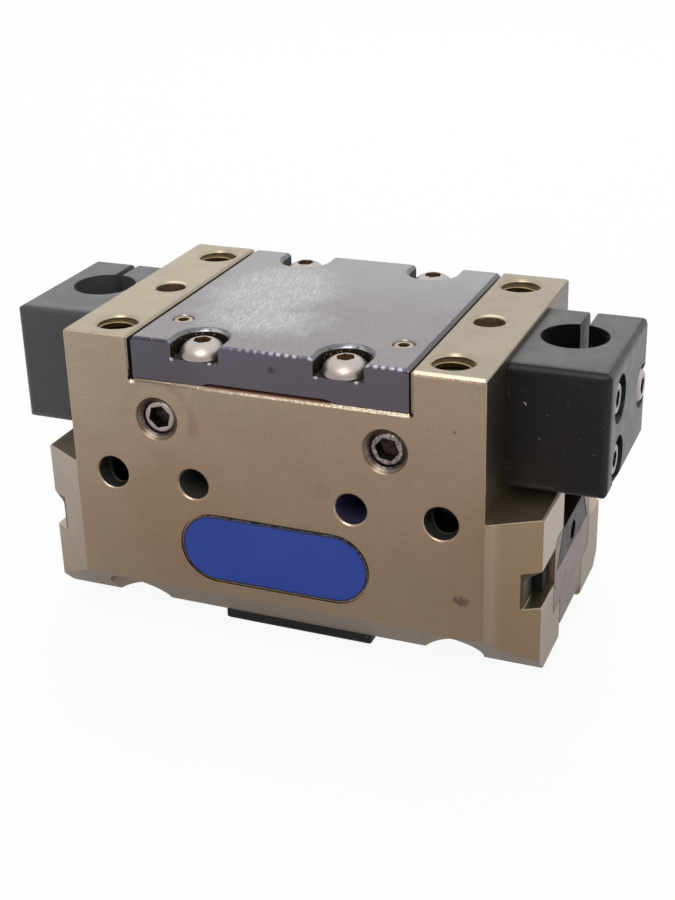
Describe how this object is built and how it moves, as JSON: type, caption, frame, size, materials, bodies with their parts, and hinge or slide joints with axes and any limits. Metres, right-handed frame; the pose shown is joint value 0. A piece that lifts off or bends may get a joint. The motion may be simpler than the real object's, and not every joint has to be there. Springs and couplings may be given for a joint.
{
  "type": "pneumatic two finger parallel gripper",
  "caption": "Pneumatic parallel gripper: block housing with a covered cylinder, wedge hook drive, T-shaped base jaws, clamping sensor brackets and a dust cover.",
  "frame": {"origin": "centre of the robot-side face, midway between the four robot-side threads", "axes": "+X along the jaw travel, towards the right jaw; +Y from the front face with the air ports to the rear; +Z out of the robot-side face, away from the fingers"},
  "size_m": [0.0888, 0.042, 0.047],
  "materials": {
    "housing_anodised": "hard-anodised, bronze, satin",
    "cover_anodised": "ground, grey anodised, scratched",
    "screw_steel": "satin stainless",
    "plug_steel": "satin, slightly tarnished",
    "black_plastic": "satin moulded",
    "dust_black": "matte",
    "plate_blue": "printed foil, blank",
    "seal_rubber": "matte",
    "wiper_rubber": "matte",
    "jaw_steel": "ground",
    "cam_steel": "darker ground",
    "hook_steel": "hardened and ground",
    "piston_aluminium": "turned"
  },
  "bodies": {
    "housing": {"housing": "housing_anodised", "cylinder_cover": "cover_anodised", "cover_seal": "seal_rubber", "cover_screws": "screw_steel", "cover_port_plugs": "plug_steel", "front_port_plugs": "plug_steel", "name_plate": "plate_blue", "rod_seal": "seal_rubber", "dust_cover": "dust_black", "dust_cover_screws": "screw_steel", "sensor_bracket_left": "black_plastic", "sensor_bracket_right": "black_plastic", "bracket_screws_left": "screw_steel", "bracket_screws_right": "screw_steel", "clamp_screw_left": "screw_steel", "clamp_screw_right": "screw_steel", "wipers_left": "wiper_rubber", "wipers_right": "wiper_rubber"},
    "piston": {"piston": "piston_aluminium", "piston_seal": "seal_rubber", "piston_screw": "hook_steel", "wedge_hook": "hook_steel"},
    "jaw_left": {"jaw_left": "jaw_steel", "jaw_cam_left": "cam_steel", "cam_screw_left": "hook_steel"},
    "jaw_right": {"jaw_right": "jaw_steel", "jaw_cam_right": "cam_steel", "cam_screw_right": "hook_steel"}
  },
  "joints": [
    {"name": "piston_slide", "type": "slide", "parent": "housing", "child": "piston", "axis": [0, 0, 1], "range_m": [0, 0.007]},
    {"name": "jaw_left_slide", "type": "slide", "parent": "housing", "child": "jaw_left", "axis": [-1, 0, 0], "range_m": [-0.003, 0]},
    {"name": "jaw_right_slide", "type": "slide", "parent": "housing", "child": "jaw_right", "axis": [1, 0, 0], "range_m": [-0.003, 0]}
  ],
  "couplings": [
    {"joint": "jaw_left_slide", "follows": "piston_slide", "ratio": -0.42857},
    {"joint": "jaw_right_slide", "follows": "piston_slide", "ratio": -0.42857}
  ]
}
